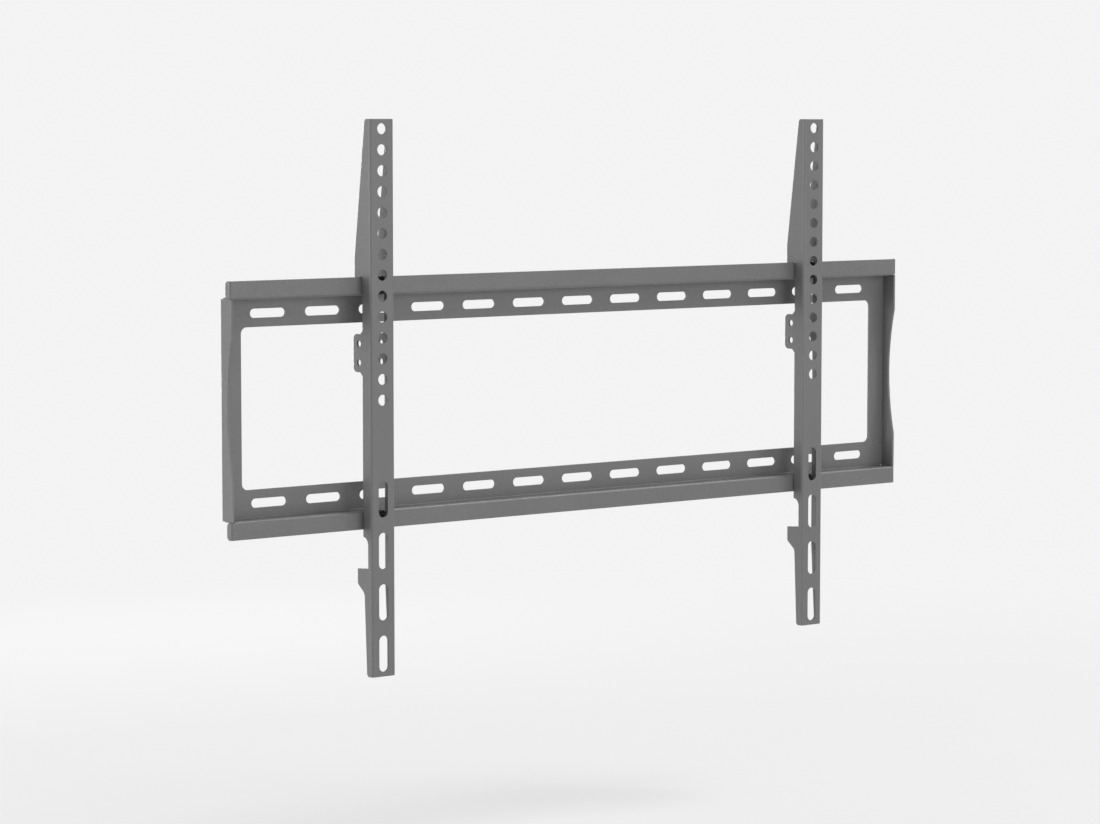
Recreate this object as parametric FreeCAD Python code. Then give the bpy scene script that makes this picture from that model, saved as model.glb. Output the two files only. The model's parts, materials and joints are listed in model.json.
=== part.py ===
"""Fixed wall mount for a flat screen, in millimetres.

A folded wall plate is screwed to the wall through its slotted rails. Two channel
arms are bolted to the back of the screen and hook over the plate's top lip.
The origin is the middle of the plate, on the wall. +X is to the viewer's right,
+Y goes into the wall and +Z is up.
"""
import FreeCAD
import Part
import math
import os

Vector = FreeCAD.Vector

# Sheet steel
PLATE_SHEET = 1.8
ARM_SHEET = 1.8
BEND_RADIUS = 0.5  # inside of every fold

# Wall plate, overall
PLATE_WIDTH = 686.2  # over the ends of the lips
PLATE_HEIGHT = 194.9  # edge of the top lip to edge of the bottom lip
PLATE_DEPTH = 15.5  # wall to the front of the lips
LIP_HEIGHT = 14.4  # lip edge to the shelf face that looks at the window
RAIL_HEIGHT = 21.4  # that shelf face to the window
SIDE_STRIP = 18.8  # window to the level of the lip ends
WINDOW_CORNER_RADIUS = 5.0

# Wall plate, ends
FLANGE_INSET = 1.1  # lip end to the outside of the side flange
FLANGE_END_INSET = 1.0  # back of a shelf to the end of the side flange
FLANGE_END_GAP = 0.3  # end of the side flange to the lip's folded end
FLANGE_CORNER_CUT = 2.0
CORNER_GAP = 0.3  # shelf end to the fold of the side flange
RELIEF_LENGTH = 2.4  # slit between the shelf end and the side flange
LIP_RETURN = 6.0  # lip front to the back edge of its folded end
RETURN_CORNER_CUT = 2.0
FLANGE_DISH_LENGTH = 108.0
FLANGE_DISH_DEPTH = 6.3

# Slots for the wall screws
WALL_SLOT_LENGTH = 32.0
WALL_SLOT_WIDTH = 7.0
WALL_SLOT_PITCH = 50.0
WALL_SLOT_END = 40.0  # least distance from a lip end to the centre of the last slot
WALL_SLOT_TO_WINDOW = 10.4  # centre line of the slots to the window

# Fit of the arms on the plate
REST_CLEARANCE = 0.3  # arm edges to the front of the lips
SEAT_CLEARANCE = 0.3  # hook to the edge of the top lip
HOOK_CLEARANCE = 0.5  # hook to the back of the top lip
HOOK_BACK_CLEARANCE = 4.1  # hook to the front of the plate
HOOK_TIP_CLEARANCE = 4.0  # hook tip to the top shelf
TAB_BACK_CLEARANCE = 2.1  # tab to the front of the plate

# Arms, overall
LEFT_ARM_INSET = 131.5  # left end of the plate to the middle of the arm
RIGHT_ARM_INSET = 107.8  # right end of the plate to the middle of the arm
ARM_WIDTH = 22.4
ARM_DEPTH = 11.4  # front face to the edges that lie on the lips
ARM_ABOVE_LIP = 120.9  # top lip edge to the upper end
ARM_BELOW_LIP = 114.2  # bottom lip edge to the lower end
ARM_TOP_DEPTH = 7.6
ARM_BOTTOM_DEPTH = 7.1
ARM_END_CUT = 1.6
TAPER_DROP = 44.0  # bottom lip edge to the taper of the plain wall

# Arms, hook
HOOK_SHOULDER = 15.0  # straight back of the hook above the lip edge
HOOK_LEAD_IN = 2.5  # slanted corner that guides the hook over the lip

# Arms, drilled tab inside the window
TAB_DROP = 44.1  # top lip edge to the upper side of the tab
TAB_LENGTH = 29.4
TAB_CORNER_RADIUS = 4.0
TAB_ROOT_CUT = 3.0
TAB_HOLE_DIAMETER = 5.2
TAB_HOLE_PITCH = 14.6
TAB_HOLE_EDGE = 7.1  # hole centres to the back edge of the tab

# Arms, notch and barb of the left wall, under the bottom lip
NOTCH_DROP = 5.7  # bottom lip edge to the notch
NOTCH_DEPTH = 5.0  # front face to the floor of the notch
NOTCH_RADIUS = 6.4
BARB_DROP = 30.7  # bottom lip edge to the tip of the barb
BARB_RISE = 1.2  # tip of the barb up to the floor of the notch
BARB_DEPTH = 19.0
BARB_LENGTH = 12.0
BARB_SLOPE = 6.9
BARB_CORNER_RADIUS = 3.0
BARB_FOOT_DEPTH = 10.0
BARB_FOOT_RADIUS = 5.0

# Arms, holes and slots for the screen's screws
SCREW_DIAMETER = 8.5
HOLE_TO_TOP = 7.5  # upper end to the centre of the first hole
HOLE_PITCH = 16.0
PLAIN_STRETCH = 55.0  # least undrilled length between the holes and the slots
ARM_SLOT_LENGTH = 28.2
ARM_SLOT_PITCH = 40.0
ARM_SLOT_COUNT = 4
ARM_SLOT_TO_BOTTOM = 17.8  # lower end to the centre of the last slot

# Cutters run past the faces that they open by this much
CUT_MARGIN = 1.0

# Points of an outline that lie closer than this are one point
SAME_POINT = 1e-6

# Levels and planes that both parts share
lip_edge = PLATE_HEIGHT / 2
shelf_face = lip_edge - LIP_HEIGHT
shelf_back = shelf_face + PLATE_SHEET
plate_end = PLATE_WIDTH / 2
flange_outside = plate_end - FLANGE_INSET
flange_inside = flange_outside - PLATE_SHEET
flange_end = shelf_back - FLANGE_END_INSET
shelf_end = flange_inside - BEND_RADIUS - CORNER_GAP
lip_front = -PLATE_DEPTH
lip_back = lip_front + PLATE_SHEET
plate_front = -PLATE_SHEET
rest = lip_front - REST_CLEARANCE
arm_front = rest - ARM_DEPTH


def rounded_outline(corners, place):
    """Face inside a closed outline of (u, v, radius) corners, put in space by place(u, v)."""
    count = len(corners)
    runs = []
    for index, (u, v, radius) in enumerate(corners):
        corner = Vector(u, v, 0)
        before = Vector(*corners[index - 1][:2], 0) - corner
        after = Vector(*corners[(index + 1) % count][:2], 0) - corner
        before.normalize()
        after.normalize()
        if radius == 0:
            runs.append((corner, corner, corner))
            continue
        half_angle = before.getAngle(after) / 2
        middle = before + after
        middle.normalize()
        setback = radius / math.tan(half_angle)
        depth = radius / math.sin(half_angle) - radius
        runs.append((corner + before * setback, corner + middle * depth, corner + after * setback))
    edges = []
    for index, (start, middle, end) in enumerate(runs):
        following = runs[(index + 1) % count][0]
        if start != end:
            points = [place(point.x, point.y) for point in (start, middle, end)]
            edges.append(Part.Arc(*points).toShape())
        if not end.isEqual(following, SAME_POINT):
            line = Part.LineSegment(place(end.x, end.y), place(following.x, following.y))
            edges.append(line.toShape())
    return Part.Face(Part.Wire(edges))


def profile_along_x(corners, start, end):
    """Solid of a (y, z, radius) outline that runs along X."""
    face = rounded_outline(corners, lambda y, z: Vector(start, y, z))
    return face.extrude(Vector(end - start, 0, 0))


def profile_along_y(corners, start, end):
    """Solid of an (x, z, radius) outline that runs along Y."""
    face = rounded_outline(corners, lambda x, z: Vector(x, start, z))
    return face.extrude(Vector(0, end - start, 0))


def profile_along_z(corners, start, end):
    """Solid of an (x, y, radius) outline that runs along Z."""
    face = rounded_outline(corners, lambda x, y: Vector(x, y, start))
    return face.extrude(Vector(0, 0, end - start))


def slot_cutter(x, z, length, width, start, end, upright=False):
    """Round-ended slot through a sheet, from start to end along Y."""
    radius = width / 2
    reach = (length - width) / 2
    along = Vector(0, 0, reach) if upright else Vector(reach, 0, 0)
    across = Vector(radius, 0, 0) if upright else Vector(0, 0, radius)
    outward = along * ((reach + radius) / reach)
    centre = Vector(x, start, z)
    edges = [
        Part.LineSegment(centre - along + across, centre + along + across).toShape(),
        Part.Arc(centre + along + across, centre + outward, centre + along - across).toShape(),
        Part.LineSegment(centre + along - across, centre - along - across).toShape(),
        Part.Arc(centre - along - across, centre - outward, centre - along + across).toShape(),
    ]
    return Part.Face(Part.Wire(edges)).extrude(Vector(0, end - start, 0))


def mirrored_pair(shape, normal):
    """The shape and its mirror image about the origin."""
    return [shape, shape.mirror(Vector(0, 0, 0), normal)]


def plate_section():
    """Rails, shelves and lips: the folds that run along the plate."""
    outside = BEND_RADIUS + PLATE_SHEET
    corners = [
        (lip_front, -lip_edge, 0),
        (lip_front, -shelf_face, outside),
        (plate_front, -shelf_face, BEND_RADIUS),
        (plate_front, shelf_face, BEND_RADIUS),
        (lip_front, shelf_face, outside),
        (lip_front, lip_edge, 0),
        (lip_back, lip_edge, 0),
        (lip_back, shelf_back, BEND_RADIUS),
        (0, shelf_back, outside),
        (0, -shelf_back, outside),
        (lip_back, -shelf_back, BEND_RADIUS),
        (lip_back, -lip_edge, 0),
    ]
    return profile_along_x(corners, -shelf_end, shelf_end)


def side_flange():
    """Right end of the plate, folded forward between the two shelves."""
    corners = [
        (shelf_end, 0, 0),
        (flange_outside, 0, BEND_RADIUS + PLATE_SHEET),
        (flange_outside, lip_front, 0),
        (flange_inside, lip_front, 0),
        (flange_inside, plate_front, BEND_RADIUS),
        (shelf_end, plate_front, 0),
    ]
    folded = profile_along_z(corners, -flange_end, flange_end)
    outline = [
        (lip_front, -flange_end, 0),
        (-FLANGE_CORNER_CUT, -flange_end, 0),
        (0, FLANGE_CORNER_CUT - flange_end, 0),
        (0, flange_end - FLANGE_CORNER_CUT, 0),
        (-FLANGE_CORNER_CUT, flange_end, 0),
        (lip_front, flange_end, 0),
    ]
    trimmed = folded.common(profile_along_x(outline, shelf_end, flange_outside))
    dish_radius = (FLANGE_DISH_LENGTH ** 2 / 4 + FLANGE_DISH_DEPTH ** 2) / (2 * FLANGE_DISH_DEPTH)
    dish_centre = Vector(shelf_end, lip_front + FLANGE_DISH_DEPTH - dish_radius, 0)
    dish = Part.makeCylinder(dish_radius, flange_outside - shelf_end, dish_centre, Vector(1, 0, 0))
    return trimmed.cut(dish)


def lip_end():
    """Right end of the top lip, folded back as a stop for the hooks."""
    return_back = lip_front + LIP_RETURN
    corners = [
        (shelf_end, lip_front, 0),
        (plate_end, lip_front, BEND_RADIUS + PLATE_SHEET),
        (plate_end, return_back, 0),
        (plate_end - PLATE_SHEET, return_back, 0),
        (plate_end - PLATE_SHEET, lip_back, BEND_RADIUS),
        (shelf_end, lip_back, 0),
    ]
    start = flange_end + FLANGE_END_GAP
    folded = profile_along_z(corners, start, lip_edge)
    outline = [
        (lip_front, start, 0),
        (return_back - RETURN_CORNER_CUT, start, 0),
        (return_back, start + RETURN_CORNER_CUT, 0),
        (return_back, lip_edge - RETURN_CORNER_CUT, 0),
        (return_back - RETURN_CORNER_CUT, lip_edge, 0),
        (lip_front, lip_edge, 0),
    ]
    return folded.common(profile_along_x(outline, shelf_end, plate_end))


def corner_relief():
    """Slit that frees the top shelf from the right side flange."""
    corner = Vector(shelf_end, lip_back, shelf_back - RELIEF_LENGTH)
    return Part.makeBox(flange_inside - shelf_end, CUT_MARGIN - lip_back, RELIEF_LENGTH, corner)


def window_cutter(start, end):
    """Large opening between the rails and the side strips."""
    half_width = plate_end - SIDE_STRIP
    half_height = shelf_face - RAIL_HEIGHT
    corners = [
        (-half_width, -half_height, WINDOW_CORNER_RADIUS),
        (half_width, -half_height, WINDOW_CORNER_RADIUS),
        (half_width, half_height, WINDOW_CORNER_RADIUS),
        (-half_width, half_height, WINDOW_CORNER_RADIUS),
    ]
    return profile_along_y(corners, start, end)


def wall_slot_cutters(start, end):
    """Both rows of slots for the wall screws, centred on the plate."""
    row_height = shelf_face - RAIL_HEIGHT + WALL_SLOT_TO_WINDOW
    steps = math.floor((PLATE_WIDTH - 2 * WALL_SLOT_END) / WALL_SLOT_PITCH)
    cutters = []
    for step in range(steps + 1):
        x = (step - steps / 2) * WALL_SLOT_PITCH
        for z in (-row_height, row_height):
            cutters.append(slot_cutter(x, z, WALL_SLOT_LENGTH, WALL_SLOT_WIDTH, start, end))
    return cutters


def wall_plate():
    """The folded plate that stays on the wall."""
    across = Vector(1, 0, 0)
    upright = Vector(0, 0, 1)
    ends = mirrored_pair(side_flange(), across)
    for shape in mirrored_pair(lip_end(), across):
        ends += mirrored_pair(shape, upright)
    reliefs = []
    for shape in mirrored_pair(corner_relief(), across):
        reliefs += mirrored_pair(shape, upright)
    start = plate_front - CUT_MARGIN
    end = CUT_MARGIN
    openings = [window_cutter(start, end)] + wall_slot_cutters(start, end)
    plate = plate_section().fuse(ends).cut(openings + reliefs)
    return plate.removeSplitter()


def arm_channel(x, bottom, top):
    """U-shaped channel with side walls that still reach back to the wall."""
    half = ARM_WIDTH / 2
    outside = BEND_RADIUS + ARM_SHEET
    inner_front = arm_front + ARM_SHEET
    corners = [
        (x - half, 0, 0),
        (x - half, arm_front, outside),
        (x + half, arm_front, outside),
        (x + half, 0, 0),
        (x + half - ARM_SHEET, 0, 0),
        (x + half - ARM_SHEET, inner_front, BEND_RADIUS),
        (x - half + ARM_SHEET, inner_front, BEND_RADIUS),
        (x - half + ARM_SHEET, 0, 0),
    ]
    return profile_along_z(corners, bottom, top)


def upper_outline(top, tab_back):
    """Upper end, hook and tab, alike on both side walls."""
    seat = lip_edge + SEAT_CLEARANCE
    hook_front = lip_back + HOOK_CLEARANCE
    hook_back = plate_front - HOOK_BACK_CLEARANCE
    hook_tip = shelf_back + HOOK_TIP_CLEARANCE
    tab_top = lip_edge - TAB_DROP
    tab_bottom = tab_top - TAB_LENGTH
    return [
        (arm_front, top, 0),
        (arm_front + ARM_TOP_DEPTH - ARM_END_CUT, top, 0),
        (arm_front + ARM_TOP_DEPTH, top - ARM_END_CUT, 0),
        (hook_back, lip_edge + HOOK_SHOULDER, 0),
        (hook_back, hook_tip, 0),
        (hook_front + HOOK_LEAD_IN, hook_tip, 0),
        (hook_front, hook_tip + HOOK_LEAD_IN, 0),
        (hook_front, seat, 0),
        (rest, seat, 0),
        (rest, tab_top + TAB_ROOT_CUT, 0),
        (rest + TAB_ROOT_CUT, tab_top, 0),
        (tab_back, tab_top, TAB_CORNER_RADIUS),
        (tab_back, tab_bottom, TAB_CORNER_RADIUS),
        (rest + TAB_ROOT_CUT, tab_bottom, 0),
        (rest, tab_bottom - TAB_ROOT_CUT, 0),
    ]


def barbed_outline():
    """Notch and barb of the left side wall."""
    notch_top = -lip_edge - NOTCH_DROP
    notch_floor = arm_front + NOTCH_DEPTH
    notch_radius = min(NOTCH_RADIUS, rest - notch_floor)
    barb_top = -lip_edge - BARB_DROP
    barb_bottom = barb_top - BARB_LENGTH
    barb_back = arm_front + BARB_DEPTH
    return [
        (rest, notch_top, 0),
        (notch_floor, notch_top, notch_radius),
        (notch_floor, barb_top + BARB_RISE, 0),
        (barb_back, barb_top, 0),
        (barb_back, barb_bottom, BARB_CORNER_RADIUS),
        (arm_front + BARB_FOOT_DEPTH, barb_bottom - BARB_SLOPE, BARB_FOOT_RADIUS),
    ]


def arm_sides(x, bottom, top, tab_back):
    """Side views of the arm: the left wall has a notch and a barb, the right one is plain."""
    upper = upper_outline(top, tab_back)
    plain = [(rest, -lip_edge - TAPER_DROP, 0)]
    lower = [
        (arm_front + ARM_BOTTOM_DEPTH, bottom + ARM_END_CUT, 0),
        (arm_front + ARM_BOTTOM_DEPTH - ARM_END_CUT, bottom, 0),
        (arm_front, bottom, 0),
    ]
    half = ARM_WIDTH / 2 + CUT_MARGIN
    left_side = profile_along_x(upper + barbed_outline() + lower, x - half, x)
    right_side = profile_along_x(upper + plain + lower, x, x + half)
    return left_side.fuse(right_side)


def screw_cutters(x, bottom, top):
    """Round holes from the upper end down, and slots from the lower end up."""
    start = arm_front - CUT_MARGIN
    end = arm_front + ARM_SHEET + CUT_MARGIN
    cutters = []
    for step in range(ARM_SLOT_COUNT):
        z = bottom + ARM_SLOT_TO_BOTTOM + step * ARM_SLOT_PITCH
        cutters.append(slot_cutter(x, z, ARM_SLOT_LENGTH, SCREW_DIAMETER, start, end, upright=True))
    lowest_hole = z + ARM_SLOT_LENGTH / 2 + PLAIN_STRETCH
    z = top - HOLE_TO_TOP
    while z >= lowest_hole:
        base = Vector(x, start, z)
        cutters.append(Part.makeCylinder(SCREW_DIAMETER / 2, end - start, base, Vector(0, 1, 0)))
        z -= HOLE_PITCH
    return cutters


def tab_hole_cutters(x, tab_back):
    """Two small holes through the tabs of both side walls."""
    middle = lip_edge - TAB_DROP - TAB_LENGTH / 2
    half = ARM_WIDTH / 2 + CUT_MARGIN
    cutters = []
    for z in (middle - TAB_HOLE_PITCH / 2, middle + TAB_HOLE_PITCH / 2):
        base = Vector(x - half, tab_back - TAB_HOLE_EDGE, z)
        cutters.append(Part.makeCylinder(TAB_HOLE_DIAMETER / 2, 2 * half, base, Vector(1, 0, 0)))
    return cutters


def hanging_arm(x):
    """One of the two like arms, hooked over the top lip with its middle at x."""
    bottom = -lip_edge - ARM_BELOW_LIP
    top = lip_edge + ARM_ABOVE_LIP
    tab_back = plate_front - TAB_BACK_CLEARANCE
    arm = arm_channel(x, bottom, top).common(arm_sides(x, bottom, top, tab_back))
    arm = arm.cut(screw_cutters(x, bottom, top) + tab_hole_cutters(x, tab_back))
    return arm.removeSplitter()


def main():
    """Write each part of the mount as a STEP file."""
    os.makedirs("parts", exist_ok=True)
    nodes = {
        "wall_plate": wall_plate(),
        "left_arm": hanging_arm(LEFT_ARM_INSET - plate_end),
        "right_arm": hanging_arm(plate_end - RIGHT_ARM_INSET),
    }
    for name, shape in nodes.items():
        solid = shape.Solids[0]
        solid.exportStep(f"parts/{name}.step")
        print(name, len(shape.Solids), solid.isValid(), round(solid.Volume), solid.BoundBox)


main()
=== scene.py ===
"""Powder coat, rounded sheet edges and studio for a fixed wall mount of a flat screen."""

import json
import math

import bmesh
import bpy
from bpy.props import FloatProperty, FloatVectorProperty, PointerProperty
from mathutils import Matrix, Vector

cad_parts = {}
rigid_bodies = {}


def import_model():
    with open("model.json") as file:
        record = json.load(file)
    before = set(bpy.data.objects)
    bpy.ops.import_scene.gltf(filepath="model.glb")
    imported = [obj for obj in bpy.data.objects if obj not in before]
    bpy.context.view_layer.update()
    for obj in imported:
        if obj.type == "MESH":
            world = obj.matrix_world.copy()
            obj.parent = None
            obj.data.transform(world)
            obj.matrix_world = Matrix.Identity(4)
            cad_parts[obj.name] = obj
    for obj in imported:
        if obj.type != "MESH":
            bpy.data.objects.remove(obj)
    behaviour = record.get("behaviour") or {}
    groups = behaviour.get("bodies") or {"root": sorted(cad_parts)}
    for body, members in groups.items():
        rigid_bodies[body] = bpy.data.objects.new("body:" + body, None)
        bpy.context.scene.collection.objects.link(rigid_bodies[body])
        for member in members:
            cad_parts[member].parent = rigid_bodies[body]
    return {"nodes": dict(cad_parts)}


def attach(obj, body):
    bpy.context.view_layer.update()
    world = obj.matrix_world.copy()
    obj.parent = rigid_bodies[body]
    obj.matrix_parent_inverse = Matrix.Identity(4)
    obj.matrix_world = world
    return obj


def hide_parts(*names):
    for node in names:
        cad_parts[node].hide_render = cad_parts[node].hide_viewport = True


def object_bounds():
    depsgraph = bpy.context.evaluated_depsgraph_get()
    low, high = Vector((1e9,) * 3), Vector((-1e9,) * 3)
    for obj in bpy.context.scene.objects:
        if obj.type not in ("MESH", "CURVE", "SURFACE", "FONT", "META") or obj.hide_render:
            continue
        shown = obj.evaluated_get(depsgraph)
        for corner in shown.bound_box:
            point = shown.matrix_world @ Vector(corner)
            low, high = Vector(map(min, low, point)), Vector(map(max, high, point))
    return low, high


bl_info = {
    "name": "Screen Wall Mount",
    "version": (1, 0, 0),
    "blender": (4, 5, 0),
    "location": "3D View > Sidebar > Wall Mount",
    "description": "Coats the plate and arms of a screen's wall mount and sets them in a studio",
    "category": "Object",
}

for leftover in list(bpy.data.objects):
    bpy.data.objects.remove(leftover)
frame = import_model()
CAD_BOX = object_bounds()

EDGE_LAYER = "sheet_edge"

# Mesh of a sheet: vertices closer than this are one, and faces flatter than this are one
WELD_DISTANCE = 1e-6
FLAT_ANGLE = math.radians(0.5)

# Cut edges of a sheet: those that stand out by more than this angle are rounded
CUT_ANGLE = math.radians(30)
EDGE_SEGMENTS = 2
ROUND_PROFILE = 0.5

# Waves of the coat, in grains
PEEL_GRAINS = 4
CLOUD_GRAINS = 90

# Swing of the coat's tone and roughness, the painted highlight that a rounded edge adds to the
# tone, and the roughness it takes off
NOISE_MEAN = 0.5
GRAIN_TONE = 0.6
CLOUD_TONE = 0.2
PAINTED_EDGE_HIGHLIGHT = 0.12
PEEL_ROUGHNESS = 0.4
EDGE_SMOOTHNESS = 0.1

# Shares of grain and orange peel in the coat's height
GRAIN_HEIGHT = 0.6
PEEL_HEIGHT = 0.4

# Lamps: place from the middle of the mount, and width
KEY_PLACE = Vector((0.22, -2.2, 0.3))
KEY_WIDTH = 1.4
SIDE_PLACE = Vector((-2.35, 0.72, 0.5))
SIDE_WIDTH = 1.7
TOP_PLACE = Vector((1.55, -0.9, 1.9))
TOP_WIDTH = 1.0
BACK_PLACE = Vector((0.6, 2.3, 0.15))
BACK_WIDTH = 0.8

# Disc of the floor, and the share of its reach that isn't faded yet
FLOOR_RADIUS = 30
FLOOR_SEGMENTS = 96
FLOOR_NEAR = 0.25

# Camera's sensor in millimetres
SENSOR_WIDTH = 36


class CoatProperties(bpy.types.PropertyGroup):
    """Finish of the folded steel."""

    colour: FloatVectorProperty(
        name="Colour", description="Powder coat on the plate and the arms",
        subtype="COLOR", size=3, min=0, max=1, default=(0.13, 0.13, 0.132))
    roughness: FloatProperty(
        name="Roughness", description="Mean roughness of the coat", min=0, max=1, default=0.42)
    grain_size: FloatProperty(
        name="Grain", description="Width of a grain of the coat",
        subtype="DISTANCE", unit="LENGTH", precision=5, default=0.0008)
    grain_depth: FloatProperty(
        name="Grain Depth", description="Height of a grain of the coat",
        subtype="DISTANCE", unit="LENGTH", precision=6, default=0.00018)
    edge_radius: FloatProperty(
        name="Edge", description="Width of the rounded edges of the sheet",
        subtype="DISTANCE", unit="LENGTH", precision=5, default=0.00025)


class StudioProperties(bpy.types.PropertyGroup):
    """Floor, light and camera."""

    backdrop: FloatVectorProperty(
        name="Backdrop", description="Colour behind the mount",
        subtype="COLOR", size=3, min=0, max=1, default=(0.9, 0.9, 0.9))
    floor_colour: FloatVectorProperty(
        name="Floor", description="Colour of the floor near the mount",
        subtype="COLOR", size=3, min=0, max=1, default=(0.86, 0.86, 0.86))
    floor_drop: FloatProperty(
        name="Floor Drop", description="Floor to the lowest point of the mount",
        subtype="DISTANCE", unit="LENGTH", default=0.15)
    floor_reach: FloatProperty(
        name="Floor Reach", description="Radius at which the floor has become backdrop",
        subtype="DISTANCE", unit="LENGTH", default=1.6)
    floor_glow: FloatProperty(
        name="Floor Glow", description="Share of backdrop in the floor right below the mount",
        subtype="FACTOR", min=0, max=1, default=0.3)
    ambient: FloatProperty(
        name="Ambient", description="Even light from all sides", min=0, default=0.3)
    key_power: FloatProperty(
        name="Key", description="Power of the large soft lamp in front",
        unit="POWER", min=0, default=20)
    side_power: FloatProperty(
        name="Side", description="Power of the soft lamp at the left, a little behind",
        unit="POWER", min=0, default=42)
    top_power: FloatProperty(
        name="Top", description="Power of the lamp high up at the right",
        unit="POWER", min=0, default=34)
    back_power: FloatProperty(
        name="Back", description="Power of the soft lamp behind the mount",
        unit="POWER", min=0, default=30)
    view_azimuth: FloatProperty(
        name="Azimuth", description="Camera's bearing, to the right of straight in front",
        subtype="ANGLE", default=math.radians(-38.153))
    view_elevation: FloatProperty(
        name="Elevation", description="Camera's height over the mount, as an angle",
        subtype="ANGLE", default=math.radians(4.8135))
    view_distance: FloatProperty(
        name="Distance", description="Camera to the point that it looks at",
        subtype="DISTANCE", unit="LENGTH", default=2.798)
    view_aim: FloatVectorProperty(
        name="Aim", description="Point that the camera looks at",
        subtype="TRANSLATION", size=3, default=(-0.0177, 0.0119, -0.0189))
    focal_length: FloatProperty(
        name="Focal Length", description="Focal length in millimetres",
        subtype="DISTANCE_CAMERA", unit="CAMERA", default=112.68)


def add_node(tree, kind, label, **inputs):
    """New node with the given label and socket values."""
    node = tree.nodes.new(kind)
    node.name = node.label = label
    for name, value in inputs.items():
        node.inputs[name.replace("_", " ")].default_value = value
    return node


def add_math(tree, operation, first, second):
    """Math node on two values, each a socket or a number."""
    node = tree.nodes.new("ShaderNodeMath")
    node.operation = operation
    for socket, value in zip(node.inputs, (first, second)):
        if isinstance(value, bpy.types.NodeSocket):
            tree.links.new(value, socket)
        else:
            socket.default_value = value
    return node.outputs["Value"]


def add_noise(tree, label, place, size, detail):
    """Noise with features of about the given size in metres."""
    node = add_node(tree, "ShaderNodeTexNoise", label, Scale=1 / size, Detail=detail)
    tree.links.new(place, node.inputs["Vector"])
    return node.outputs["Fac"]


def centred(tree, noise, amount):
    """Noise as a swing of the given amount about zero."""
    return add_math(tree, "MULTIPLY", add_math(tree, "SUBTRACT", noise, NOISE_MEAN), amount)


def coat_grain_group(grain_size):
    """Shared node group: the tone, roughness and height of a sprayed and baked coat, with a painted
    highlight that lightens the rounded edges.
    """
    tree = bpy.data.node_groups.new("coat_grain", "ShaderNodeTree")
    sockets = tree.interface
    sockets.new_socket("Place", in_out="INPUT", socket_type="NodeSocketVector")
    sockets.new_socket("Colour", in_out="INPUT", socket_type="NodeSocketColor")
    sockets.new_socket("Roughness", in_out="INPUT", socket_type="NodeSocketFloat")
    sockets.new_socket("Edge", in_out="INPUT", socket_type="NodeSocketFloat")
    sockets.new_socket("Colour", in_out="OUTPUT", socket_type="NodeSocketColor")
    sockets.new_socket("Roughness", in_out="OUTPUT", socket_type="NodeSocketFloat")
    sockets.new_socket("Height", in_out="OUTPUT", socket_type="NodeSocketFloat")
    given = tree.nodes.new("NodeGroupInput").outputs
    result = tree.nodes.new("NodeGroupOutput").inputs

    place = given["Place"]
    grain = add_noise(tree, "grain", place, grain_size, detail=2)
    peel = add_noise(tree, "orange peel", place, PEEL_GRAINS * grain_size, detail=1)
    cloud = add_noise(tree, "spray cloud", place, CLOUD_GRAINS * grain_size, detail=3)

    tone = add_math(tree, "ADD", centred(tree, cloud, CLOUD_TONE), centred(tree, grain, GRAIN_TONE))
    # Painted highlight: the rounded edges are made lighter in colour
    tone = add_math(tree, "ADD", tone, add_math(tree, "MULTIPLY", given["Edge"], PAINTED_EDGE_HIGHLIGHT))
    tone = add_math(tree, "ADD", tone, 1)
    tinted = tree.nodes.new("ShaderNodeVectorMath")
    tinted.operation = "SCALE"
    tree.links.new(given["Colour"], tinted.inputs[0])
    tree.links.new(tone, tinted.inputs["Scale"])
    tree.links.new(tinted.outputs["Vector"], result["Colour"])

    rough = add_math(tree, "ADD", given["Roughness"], centred(tree, peel, PEEL_ROUGHNESS))
    worn = add_math(tree, "MULTIPLY", given["Edge"], EDGE_SMOOTHNESS)
    tree.links.new(add_math(tree, "SUBTRACT", rough, worn), result["Roughness"])

    fine = add_math(tree, "MULTIPLY", grain, GRAIN_HEIGHT)
    coarse = add_math(tree, "MULTIPLY", peel, PEEL_HEIGHT)
    tree.links.new(add_math(tree, "ADD", fine, coarse), result["Height"])
    return tree


def coat_material(name, coat):
    """Powder coat with a fine grain, with a painted highlight that makes it a little lighter along
    the cut edges.
    """
    group = bpy.data.node_groups.get("coat_grain") or coat_grain_group(coat.grain_size)
    material = bpy.data.materials.new(name)
    material.use_nodes = True
    tree = material.node_tree
    shader = tree.nodes["Principled BSDF"]
    place = tree.nodes.new("ShaderNodeTexCoord").outputs["Object"]
    edge = tree.nodes.new("ShaderNodeAttribute")
    edge.attribute_name = EDGE_LAYER
    grain = tree.nodes.new("ShaderNodeGroup")
    grain.node_tree = group
    grain.inputs["Colour"].default_value = (*coat.colour, 1)
    grain.inputs["Roughness"].default_value = coat.roughness
    tree.links.new(place, grain.inputs["Place"])
    tree.links.new(edge.outputs["Fac"], grain.inputs["Edge"])
    bump = add_node(tree, "ShaderNodeBump", "grain height", Strength=1, Distance=coat.grain_depth)
    tree.links.new(grain.outputs["Height"], bump.inputs["Height"])
    tree.links.new(grain.outputs["Colour"], shader.inputs["Base Color"])
    tree.links.new(grain.outputs["Roughness"], shader.inputs["Roughness"])
    tree.links.new(bump.outputs["Normal"], shader.inputs["Normal"])
    return material


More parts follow.
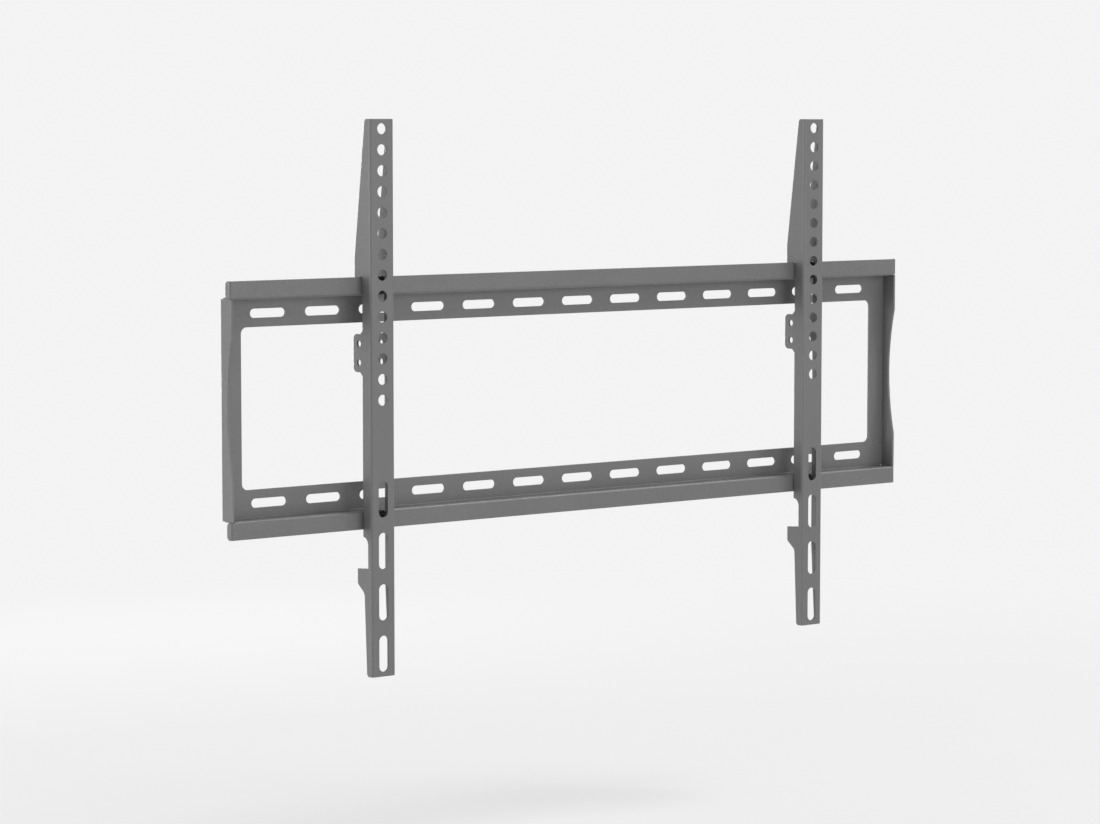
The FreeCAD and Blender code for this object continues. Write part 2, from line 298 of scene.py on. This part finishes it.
def coated_sheet(node, material, coat):
    """Copy of a folded sheet with rounded cut edges, in place of the plain one."""
    sheet = bmesh.new()
    sheet.from_mesh(frame["nodes"][node].data)
    bmesh.ops.remove_doubles(sheet, verts=sheet.verts, dist=WELD_DISTANCE)
    bmesh.ops.dissolve_limit(sheet, angle_limit=FLAT_ANGLE, verts=sheet.verts, edges=sheet.edges)
    layer = sheet.faces.layers.float.new(EDGE_LAYER)
    cuts = [edge for edge in sheet.edges if edge.calc_face_angle_signed() > CUT_ANGLE]
    rounded = bmesh.ops.bevel(
        sheet, geom=cuts, offset=coat.edge_radius, offset_type="OFFSET", affect="EDGES",
        segments=EDGE_SEGMENTS, profile=ROUND_PROFILE, material=-1)
    for face in rounded["faces"]:
        face[layer] = 1
    for face in sheet.faces:
        face.smooth = True
    mesh = bpy.data.meshes.new(f"coated_{node}")
    sheet.to_mesh(mesh)
    sheet.free()
    if "custom_normal" in mesh.attributes:
        mesh.attributes.remove(mesh.attributes["custom_normal"])
    mesh.materials.clear()
    mesh.materials.append(material)
    piece = bpy.data.objects.new(mesh.name, mesh)
    bpy.context.scene.collection.objects.link(piece)
    piece.modifiers.new("flat faces stay flat", "WEIGHTED_NORMAL")
    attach(piece, node)
    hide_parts(node)


class WALLMOUNT_OT_coat_plate(bpy.types.Operator):
    """Coat the folded plate that stays on the wall"""

    bl_idname = "wall_mount.coat_plate"
    bl_label = "Coat Wall Plate"

    def execute(self, context):
        coat = context.scene.mount_coat
        coated_sheet("wall_plate", coat_material("plate_coat", coat), coat)
        return {"FINISHED"}


class WALLMOUNT_OT_coat_arms(bpy.types.Operator):
    """Coat the two channel arms that hook over the plate"""

    bl_idname = "wall_mount.coat_arms"
    bl_label = "Coat Arms"

    def execute(self, context):
        coat = context.scene.mount_coat
        material = coat_material("arm_coat", coat)
        for node in ("left_arm", "right_arm"):
            coated_sheet(node, material, coat)
        return {"FINISHED"}


def seen_directly(tree):
    """Value that is 1 for rays that show the backdrop itself, and 0 for those that light things."""
    path = tree.nodes.new("ShaderNodeLightPath").outputs
    return add_math(tree, "MAXIMUM", path["Is Camera Ray"], path["Is Glossy Ray"])


def studio_world(studio):
    """Even light from all sides, seen as the plain backdrop."""
    world = bpy.data.worlds.new("studio")
    world.use_nodes = True
    tree = world.node_tree
    tree.nodes.clear()
    light = add_node(tree, "ShaderNodeBackground", "even light", Strength=studio.ambient)
    light.inputs["Color"].default_value = (1, 1, 1, 1)
    backdrop = add_node(tree, "ShaderNodeBackground", "backdrop", Strength=1)
    backdrop.inputs["Color"].default_value = (*studio.backdrop, 1)
    mix = tree.nodes.new("ShaderNodeMixShader")
    tree.links.new(seen_directly(tree), mix.inputs["Fac"])
    tree.links.new(light.outputs["Background"], mix.inputs[1])
    tree.links.new(backdrop.outputs["Background"], mix.inputs[2])
    out = tree.nodes.new("ShaderNodeOutputWorld")
    tree.links.new(mix.outputs["Shader"], out.inputs["Surface"])
    bpy.context.scene.world = world


def floor_material(studio):
    """Pale floor that turns into the backdrop away from the mount, clear from below."""
    material = bpy.data.materials.new("studio_floor")
    material.use_nodes = True
    tree = material.node_tree
    shader = tree.nodes["Principled BSDF"]
    shader.inputs["Base Color"].default_value = (*studio.floor_colour, 1)
    shader.inputs["Roughness"].default_value = 1
    shader.inputs["Specular IOR Level"].default_value = 0
    far = add_node(tree, "ShaderNodeEmission", "backdrop", Strength=1)
    far.inputs["Color"].default_value = (*studio.backdrop, 1)
    place = tree.nodes.new("ShaderNodeTexCoord").outputs["Object"]
    reach = tree.nodes.new("ShaderNodeVectorMath")
    reach.operation = "LENGTH"
    tree.links.new(place, reach.inputs[0])
    fade = add_node(
        tree, "ShaderNodeMapRange", "fade", From_Min=FLOOR_NEAR * studio.floor_reach,
        From_Max=studio.floor_reach, To_Min=studio.floor_glow, To_Max=1)
    fade.interpolation_type = "SMOOTHSTEP"
    tree.links.new(reach.outputs["Value"], fade.inputs["Value"])
    mix = tree.nodes.new("ShaderNodeMixShader")
    share = add_math(tree, "MULTIPLY", fade.outputs["Result"], seen_directly(tree))
    tree.links.new(share, mix.inputs["Fac"])
    tree.links.new(shader.outputs["BSDF"], mix.inputs[1])
    tree.links.new(far.outputs["Emission"], mix.inputs[2])
    below = tree.nodes.new("ShaderNodeNewGeometry").outputs["Backfacing"]
    clear = tree.nodes.new("ShaderNodeBsdfTransparent")
    sides = tree.nodes.new("ShaderNodeMixShader")
    tree.links.new(below, sides.inputs["Fac"])
    tree.links.new(mix.outputs["Shader"], sides.inputs[1])
    tree.links.new(clear.outputs["BSDF"], sides.inputs[2])
    tree.links.new(sides.outputs["Shader"], tree.nodes["Material Output"].inputs["Surface"])
    return material


def studio_floor(studio):
    """Wide round floor below the mount."""
    disc = bmesh.new()
    bmesh.ops.create_circle(disc, cap_ends=True, radius=FLOOR_RADIUS, segments=FLOOR_SEGMENTS)
    mesh = bpy.data.meshes.new("studio_floor")
    disc.to_mesh(mesh)
    disc.free()
    mesh.materials.append(floor_material(studio))
    floor = bpy.data.objects.new("studio_floor", mesh)
    floor.location.z = CAD_BOX[0].z - studio.floor_drop
    bpy.context.scene.collection.objects.link(floor)


def aim(thing, target):
    """Turn a lamp or camera to look at a point, with its top side up."""
    thing.rotation_euler = (target - thing.location).to_track_quat("-Z", "Y").to_euler()


def soft_lamp(name, place, target, width, power):
    """Square area lamp that shines on the target and isn't seen itself."""
    data = bpy.data.lights.new(name, "AREA")
    data.energy = power
    data.size = width
    lamp = bpy.data.objects.new(name, data)
    lamp.location = place
    lamp.visible_camera = False
    aim(lamp, target)
    bpy.context.scene.collection.objects.link(lamp)


def studio_camera(studio):
    """Camera in front and to the left of the mount, a little above its middle."""
    data = bpy.data.cameras.new("camera")
    data.sensor_width = SENSOR_WIDTH
    data.sensor_fit = "HORIZONTAL"
    data.lens = studio.focal_length
    camera = bpy.data.objects.new("camera", data)
    target = Vector(studio.view_aim)
    across = math.cos(studio.view_elevation) * studio.view_distance
    camera.location = target + Vector((
        math.sin(studio.view_azimuth) * across,
        -math.cos(studio.view_azimuth) * across,
        math.sin(studio.view_elevation) * studio.view_distance))
    aim(camera, target)
    bpy.context.scene.collection.objects.link(camera)
    bpy.context.scene.camera = camera


class WALLMOUNT_OT_set_studio(bpy.types.Operator):
    """Make the floor, the backdrop, the lamps and the camera"""

    bl_idname = "wall_mount.set_studio"
    bl_label = "Set Studio"

    def execute(self, context):
        studio = context.scene.mount_studio
        studio_world(studio)
        studio_floor(studio)
        middle = (CAD_BOX[0] + CAD_BOX[1]) / 2
        soft_lamp("key", middle + KEY_PLACE, middle, KEY_WIDTH, studio.key_power)
        soft_lamp("side", middle + SIDE_PLACE, middle, SIDE_WIDTH, studio.side_power)
        soft_lamp("top", middle + TOP_PLACE, middle, TOP_WIDTH, studio.top_power)
        soft_lamp("back", middle + BACK_PLACE, middle, BACK_WIDTH, studio.back_power)
        studio_camera(studio)
        context.scene.view_settings.view_transform = "Standard"
        return {"FINISHED"}


class WALLMOUNT_PT_panel(bpy.types.Panel):
    """Steps and settings of the wall mount"""

    bl_idname = "WALLMOUNT_PT_panel"
    bl_label = "Wall Mount"
    bl_space_type = "VIEW_3D"
    bl_region_type = "UI"
    bl_category = "Wall Mount"

    def draw(self, context):
        layout = self.layout
        for operator in OPERATORS:
            layout.operator(operator.bl_idname)
        for settings in (context.scene.mount_coat, context.scene.mount_studio):
            box = layout.box()
            for name in settings.__annotations__:
                box.prop(settings, name)


OPERATORS = (WALLMOUNT_OT_coat_plate, WALLMOUNT_OT_coat_arms, WALLMOUNT_OT_set_studio)
CLASSES = (CoatProperties, StudioProperties, *OPERATORS, WALLMOUNT_PT_panel)


def register():
    for kind in CLASSES:
        bpy.utils.register_class(kind)
    bpy.types.Scene.mount_coat = PointerProperty(type=CoatProperties)
    bpy.types.Scene.mount_studio = PointerProperty(type=StudioProperties)


def unregister():
    del bpy.types.Scene.mount_studio
    del bpy.types.Scene.mount_coat
    for kind in reversed(CLASSES):
        bpy.utils.unregister_class(kind)


def main():
    """Build the dressed mount and its studio."""
    register()
    bpy.ops.wall_mount.coat_plate()
    bpy.ops.wall_mount.coat_arms()
    bpy.ops.wall_mount.set_studio()


if __name__ == "__main__":
    main()
